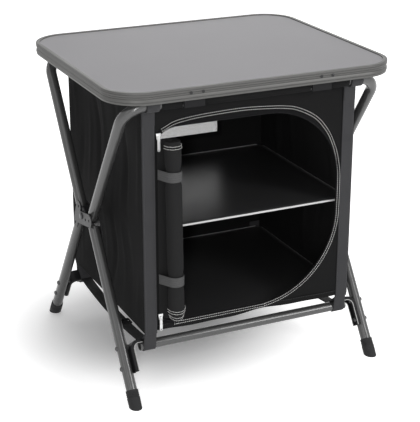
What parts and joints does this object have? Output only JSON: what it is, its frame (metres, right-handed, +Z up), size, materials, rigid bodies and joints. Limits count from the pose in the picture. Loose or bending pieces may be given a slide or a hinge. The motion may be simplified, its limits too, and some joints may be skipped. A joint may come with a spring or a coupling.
{
  "type": "folding camp kitchen cupboard",
  "caption": "Fabric two-shelf camping cupboard under a hard tabletop on a folding X frame, with a rolled-up D-shaped zip door at the front.",
  "frame": {"origin": "ground level under the middle of the tabletop", "axes": "+Z up, -Y toward the door, +X to the right as seen from the front"},
  "size_m": [0.6, 0.5216, 0.636],
  "materials": {
    "laminate": "fine matt grain",
    "rim": "satin grey",
    "tube": "satin grey",
    "plate": "satin light grey",
    "black_plastic": "moulded matt",
    "rubber": "matt",
    "steel": "bright",
    "cloth": "coated woven polyester",
    "lining": "coated woven polyester",
    "webbing": "woven webbing",
    "strap": "woven strap",
    "elastic": "woven elastic",
    "white_trim": "satin"
  },
  "bodies": {
    "hub": {"hub_spacer_left": "black_plastic", "hub_spacer_right": "black_plastic", "pivot_bolt_left": "steel", "pivot_bolt_right": "steel"},
    "leg_a": {"upper_frame_front": "tube", "crossbar_rear": "tube", "lower_leg_rear_left": "tube", "lower_leg_rear_right": "tube", "foot_rear_left": "rubber", "foot_rear_right": "rubber", "elbow_rear_left": "black_plastic", "elbow_rear_right": "black_plastic", "hub_plate_front_left": "plate", "hub_plate_front_right": "plate", "top_loop_front_left": "strap", "top_loop_front_right": "strap"},
    "leg_b": {"upper_frame_rear": "tube", "crossbar_front": "tube", "lower_leg_front_left": "tube", "lower_leg_front_right": "tube", "foot_front_left": "rubber", "foot_front_right": "rubber", "elbow_front_left": "black_plastic", "elbow_front_right": "black_plastic", "hub_plate_rear_left": "plate", "hub_plate_rear_right": "plate", "top_loop_rear_left": "strap", "top_loop_rear_right": "strap"},
    "front_side": {"front_wall": "cloth", "door_zip": "lining", "rolled_door": "cloth", "elastic_band_upper": "elastic", "elastic_band_lower": "elastic", "zip_slider_upper": "steel", "zip_slider_lower": "steel", "webbing_front_left": "webbing", "webbing_front_right": "webbing"},
    "rear_side": {"rear_wall": "cloth", "vent_net": "lining", "side_wall_left": "cloth", "side_wall_right": "cloth", "webbing_rear_left": "webbing", "webbing_rear_right": "webbing", "bottom_strap_left": "strap", "bottom_strap_right": "strap"},
    "shelf": {"shelf_board": "lining", "shelf_trim": "white_trim"},
    "base": {"base_board": "lining"},
    "tabletop": {"tabletop_panel": "laminate", "tabletop_rim": "rim", "bar_clip_front_left": "black_plastic", "bar_clip_front_right": "black_plastic", "bar_clip_rear_left": "black_plastic", "bar_clip_rear_right": "black_plastic"},
    "upper_pull": {"zip_pull_upper": "steel"},
    "lower_pull": {"zip_pull_lower": "steel"}
  },
  "joints": [
    {"name": "fold_a", "type": "hinge", "parent": "hub", "child": "leg_a", "pos_m": [0, 0, 0.31902], "axis": [-1, 0, 0], "range_deg": [0, 34], "deforming": ["front_wall", "rear_wall", "rolled_door", "door_zip", "elastic_band_upper", "elastic_band_lower", "vent_net", "side_wall_left", "side_wall_right", "webbing_front_left", "webbing_front_right", "webbing_rear_left", "webbing_rear_right", "top_loop_front_left", "top_loop_front_right", "top_loop_rear_left", "top_loop_rear_right", "bottom_strap_left", "bottom_strap_right"]},
    {"name": "fold_b", "type": "hinge", "parent": "hub", "child": "leg_b", "pos_m": [0, 0, 0.31902], "axis": [1, 0, 0], "range_deg": [0, 34]},
    {"name": "front_side_hang", "type": "hinge", "parent": "leg_b", "child": "front_side", "pos_m": [0, -0.18367, 0.09939], "axis": [-1, 0, 0], "range_deg": [0, 34]},
    {"name": "rear_side_hang", "type": "hinge", "parent": "leg_a", "child": "rear_side", "pos_m": [0, 0.18367, 0.09939], "axis": [1, 0, 0], "range_deg": [0, 34]},
    {"name": "shelf_fold", "type": "hinge", "parent": "front_side", "child": "shelf", "pos_m": [0, -0.1852, 0.34499], "axis": [1, 0, 0], "range_deg": [0, 90]},
    {"name": "base_fold", "type": "hinge", "parent": "front_side", "child": "base", "pos_m": [0, -0.1882, 0.143], "axis": [1, 0, 0], "range_deg": [0, 87]},
    {"name": "tabletop_lift", "type": "slide", "parent": "hub", "child": "tabletop", "axis": [0, 0, 1], "range_m": [0, 0.3]},
    {"name": "upper_pull_swing", "type": "hinge", "parent": "front_side", "child": "upper_pull", "pos_m": [-0.1955, -0.2054, 0.5343], "axis": [-1, 0, 0], "range_deg": [0, 170]},
    {"name": "lower_pull_swing", "type": "hinge", "parent": "front_side", "child": "lower_pull", "pos_m": [-0.1955, -0.2054, 0.164], "axis": [-1, 0, 0], "range_deg": [0, 170]}
  ],
  "couplings": [
    {"joint": "fold_b", "follows": "fold_a", "ratio": 1},
    {"joint": "front_side_hang", "follows": "fold_a", "ratio": 1},
    {"joint": "rear_side_hang", "follows": "fold_a", "ratio": 1},
    {"joint": "shelf_fold", "follows": "fold_a", "ratio": 2.64},
    {"joint": "base_fold", "follows": "fold_a", "ratio": 2.54},
    {"joint": "tabletop_lift", "follows": "fold_a", "m_per_rad": 0.5}
  ]
}
